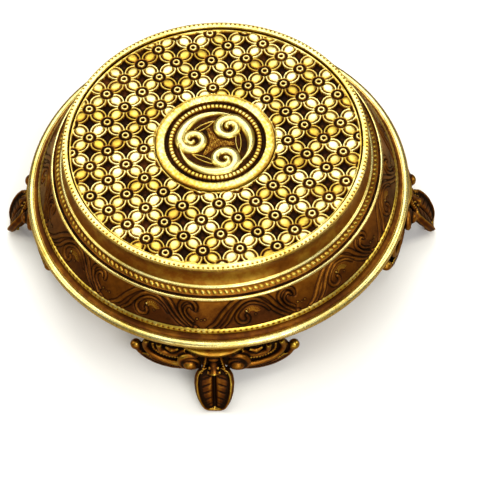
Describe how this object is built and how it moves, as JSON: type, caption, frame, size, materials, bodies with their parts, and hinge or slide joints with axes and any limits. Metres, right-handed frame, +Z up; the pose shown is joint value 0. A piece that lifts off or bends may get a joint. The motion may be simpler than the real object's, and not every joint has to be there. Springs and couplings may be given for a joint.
{
  "type": "footed spice box",
  "caption": "Round footed brass spice box: a carved lift-off lid over a pan that holds loose lidless cups for spices and a small spoon, standing on cast curled feet.",
  "frame": {"origin": "on the ground, under the centre of the box", "axes": "+Z up through the centre of the lid; the feet stand on the X and Y axes; the front foot is towards -Y"},
  "size_m": [0.2178, 0.2178, 0.073],
  "materials": {
    "lid_brass": "polished antique, dark patina in recesses",
    "lattice_brass": "polished tops, blackened piercings",
    "medallion_brass": "polished tops, blackened ground",
    "pan_brass": "satin",
    "foot_brass": "dark antique with rubbed highlights",
    "screw_brass": "satin",
    "cup_brass": "polished",
    "spoon_brass": "polished"
  },
  "bodies": {
    "base": {"base_pan": "pan_brass", "foot_screws": "screw_brass", "foot_front": "foot_brass", "foot_right": "foot_brass", "foot_back": "foot_brass", "foot_left": "foot_brass"},
    "lid": {"lid_shell": "lid_brass", "lid_lattice_panel": "lattice_brass", "lid_medallion": "medallion_brass"},
    "cup_centre": {"spice_cup_centre": "cup_brass"},
    "cup_1": {"spice_cup_1": "cup_brass"},
    "cup_2": {"spice_cup_2": "cup_brass"},
    "cup_3": {"spice_cup_3": "cup_brass"},
    "cup_4": {"spice_cup_4": "cup_brass"},
    "cup_5": {"spice_cup_5": "cup_brass"},
    "cup_6": {"spice_cup_6": "cup_brass"},
    "spoon": {"spice_spoon": "spoon_brass"}
  },
  "joints": [
    {"name": "lid_lift", "type": "slide", "parent": "base", "child": "lid", "axis": [0, 0, 1], "range_m": [0, 0.12]},
    {"name": "cup_centre_lift", "type": "slide", "parent": "base", "child": "cup_centre", "axis": [0, 0, 1], "range_m": [0, 0.011]},
    {"name": "cup_1_lift", "type": "slide", "parent": "base", "child": "cup_1", "axis": [0, 0, 1], "range_m": [0, 0.011]},
    {"name": "cup_2_lift", "type": "slide", "parent": "base", "child": "cup_2", "axis": [0, 0, 1], "range_m": [0, 0.011]},
    {"name": "cup_3_lift", "type": "slide", "parent": "base", "child": "cup_3", "axis": [0, 0, 1], "range_m": [0, 0.011]},
    {"name": "cup_4_lift", "type": "slide", "parent": "base", "child": "cup_4", "axis": [0, 0, 1], "range_m": [0, 0.011]},
    {"name": "cup_5_lift", "type": "slide", "parent": "base", "child": "cup_5", "axis": [0, 0, 1], "range_m": [0, 0.011]},
    {"name": "cup_6_lift", "type": "slide", "parent": "base", "child": "cup_6", "axis": [0, 0, 1], "range_m": [0, 0.011]},
    {"name": "spoon_lift", "type": "slide", "parent": "cup_centre", "child": "spoon", "axis": [0, 0, 1], "range_m": [0, 0.01]}
  ]
}
